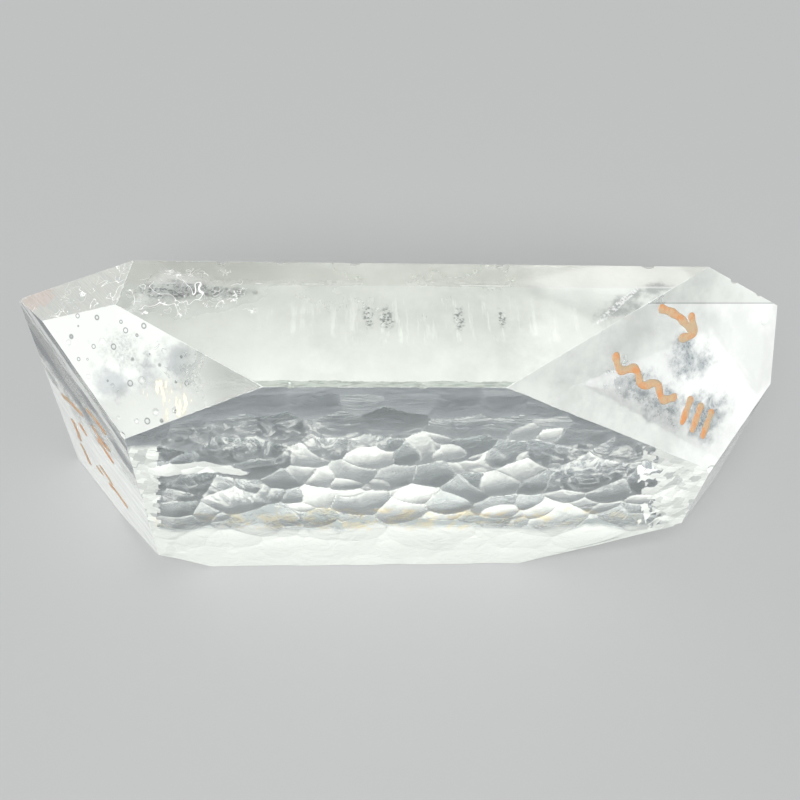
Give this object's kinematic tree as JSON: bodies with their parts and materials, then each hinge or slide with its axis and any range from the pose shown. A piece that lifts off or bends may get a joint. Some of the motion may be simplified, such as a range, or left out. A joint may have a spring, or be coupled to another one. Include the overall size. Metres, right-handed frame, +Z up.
{
  "type": "quartz crystal",
  "caption": "Clear single crystal of quartz, a flat-sided bar with bevelled ends and one cobbled growth face, standing on its long lower side.",
  "frame": {"origin": "middle of the bounding box's bottom, on the surface that the bar stands on", "axes": "+X along the bar, +Y from the cobbled face back to the flat seed face, +Z up"},
  "size_m": [0.185, 0.0352, 0.0877],
  "materials": {
    "clear_quartz": "clear, as grown, with a cobbled face and etch-frosted patches"
  },
  "bodies": {
    "root": {"quartz_crystal": "clear_quartz"}
  },
  "joints": []
}
